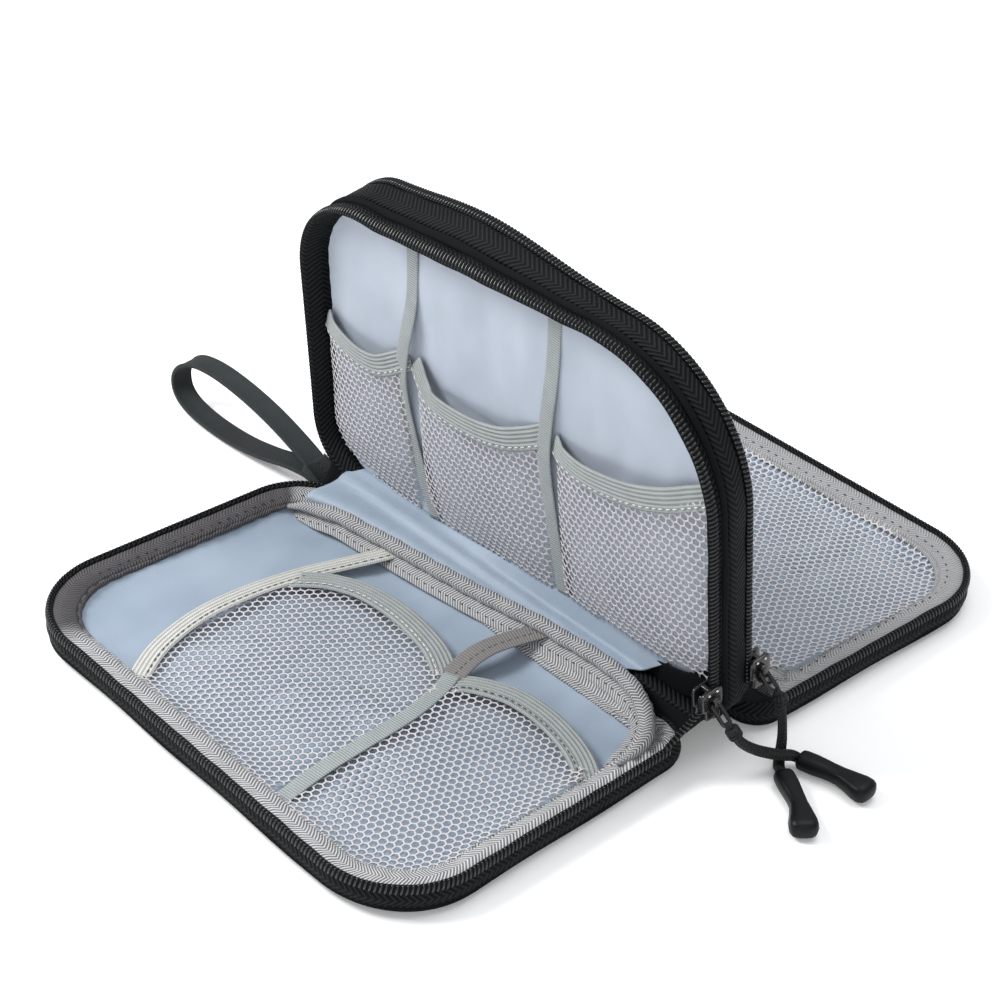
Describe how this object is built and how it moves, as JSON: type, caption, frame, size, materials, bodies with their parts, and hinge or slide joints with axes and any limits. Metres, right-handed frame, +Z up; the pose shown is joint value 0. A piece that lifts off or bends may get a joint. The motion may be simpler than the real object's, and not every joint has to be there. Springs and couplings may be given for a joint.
{
  "type": "cable organizer pouch",
  "caption": "Slim double-sided zip pouch, open: a standing middle with a cover folded down on each side, netting pockets, zip pulls and a wrist strap.",
  "frame": {"origin": "centre of the outline's footprint, on the ground under the two open covers", "axes": "+X along the hinges from the wrist strap to the zip pulls, +Y towards the back cover, +Z up"},
  "size_m": [0.31, 0.2618, 0.1341],
  "materials": {
    "black_chain": "satin nylon coil",
    "black_cord": "twisted",
    "black_fabric": "matte",
    "black_metal": "gloss black",
    "black_tape": "woven herringbone",
    "blue_lining": "satin",
    "grey_binding": "woven herringbone",
    "grey_elastic": "ribbed",
    "grey_ribbon": "cross ribbed",
    "grip_rubber": "matte",
    "pale_elastic": "ribbed",
    "strap_webbing": "webbing",
    "white_netting": "open netting"
  },
  "bodies": {
    "middle": {"middle_back_elastic_pull_side": "grey_elastic", "middle_back_elastic_strap_side": "grey_elastic", "middle_back_lining": "blue_lining", "middle_back_pocket_pull_side": "white_netting", "middle_back_pocket_strap_side": "white_netting", "middle_back_ribbon": "grey_ribbon", "middle_back_wall": "black_tape", "middle_back_zip_chain": "black_chain", "middle_elastic_centre": "grey_elastic", "middle_elastic_pull_side": "grey_elastic", "middle_elastic_strap_side": "grey_elastic", "middle_front_lining": "blue_lining", "middle_front_wall": "black_tape", "middle_front_zip_chain": "black_chain", "middle_pocket_centre": "white_netting", "middle_pocket_pull_side": "white_netting", "middle_pocket_strap_side": "white_netting", "middle_ribbon_pull_side": "grey_ribbon", "middle_ribbon_strap_side": "grey_ribbon", "partition_board": "black_fabric", "seam_piping": "black_fabric", "strap_anchor": "strap_webbing"},
    "front_cover": {"front_cover_binding": "grey_binding", "front_cover_corner_elastic": "grey_elastic", "front_cover_corner_pocket": "white_netting", "front_cover_hinge_tape": "grey_binding", "front_cover_lining": "blue_lining", "front_cover_long_elastic": "pale_elastic", "front_cover_panel": "black_fabric", "front_cover_ribbon": "grey_ribbon", "front_cover_wall": "black_tape", "front_cover_wide_elastic": "grey_elastic", "front_cover_wide_pocket": "white_netting", "front_cover_zip_chain": "black_chain"},
    "back_cover": {"back_cover_binding": "grey_binding", "back_cover_elastic": "grey_elastic", "back_cover_hinge_tape": "grey_binding", "back_cover_lining": "blue_lining", "back_cover_panel": "black_fabric", "back_cover_pocket": "white_netting", "back_cover_wall": "black_tape", "back_cover_zip_chain": "black_chain"},
    "front_slider": {"front_slider": "black_metal"},
    "front_pull": {"front_pull_cord": "black_cord", "front_pull_grip": "grip_rubber", "front_pull_tab": "black_metal"},
    "back_slider": {"back_slider": "black_metal"},
    "back_pull": {"back_pull_cord": "black_cord", "back_pull_grip": "grip_rubber", "back_pull_tab": "black_metal"},
    "wrist_strap": {"wrist_strap": "strap_webbing"}
  },
  "joints": [
    {"name": "front_cover_fold", "type": "hinge", "parent": "middle", "child": "front_cover", "pos_m": [0.0342, -0.01065, 0.01235], "axis": [-1, 0, 0], "range_deg": [0, 83]},
    {"name": "back_cover_fold", "type": "hinge", "parent": "middle", "child": "back_cover", "pos_m": [0.0342, 0.00942, 0.01358], "axis": [1, 0, 0], "range_deg": [0, 97]},
    {"name": "front_zip_slide", "type": "slide", "parent": "middle", "child": "front_slider", "axis": [0, -0.1219, 0.9925], "range_m": [0, 0.053], "deforming": ["front_pull_cord"]},
    {"name": "front_pull_swing", "type": "hinge", "parent": "front_slider", "child": "front_pull", "pos_m": [0.1331, -0.01169, 0.02617], "axis": [0, -0.9925, -0.1219], "range_deg": [0, 90]},
    {"name": "back_zip_slide", "type": "slide", "parent": "middle", "child": "back_slider", "axis": [0, -0.1219, 0.9925], "range_m": [0, 0.053], "deforming": ["back_pull_cord"]},
    {"name": "back_pull_swing", "type": "hinge", "parent": "back_slider", "child": "back_pull", "pos_m": [0.1331, 0.00816, 0.02861], "axis": [0, -0.9925, -0.1219], "range_deg": [0, 90]},
    {"name": "wrist_strap_lift", "type": "hinge", "parent": "middle", "child": "wrist_strap", "pos_m": [-0.063, -0.008, 0.0182], "axis": [0, 1, 0], "range_deg": [0, 75]}
  ]
}
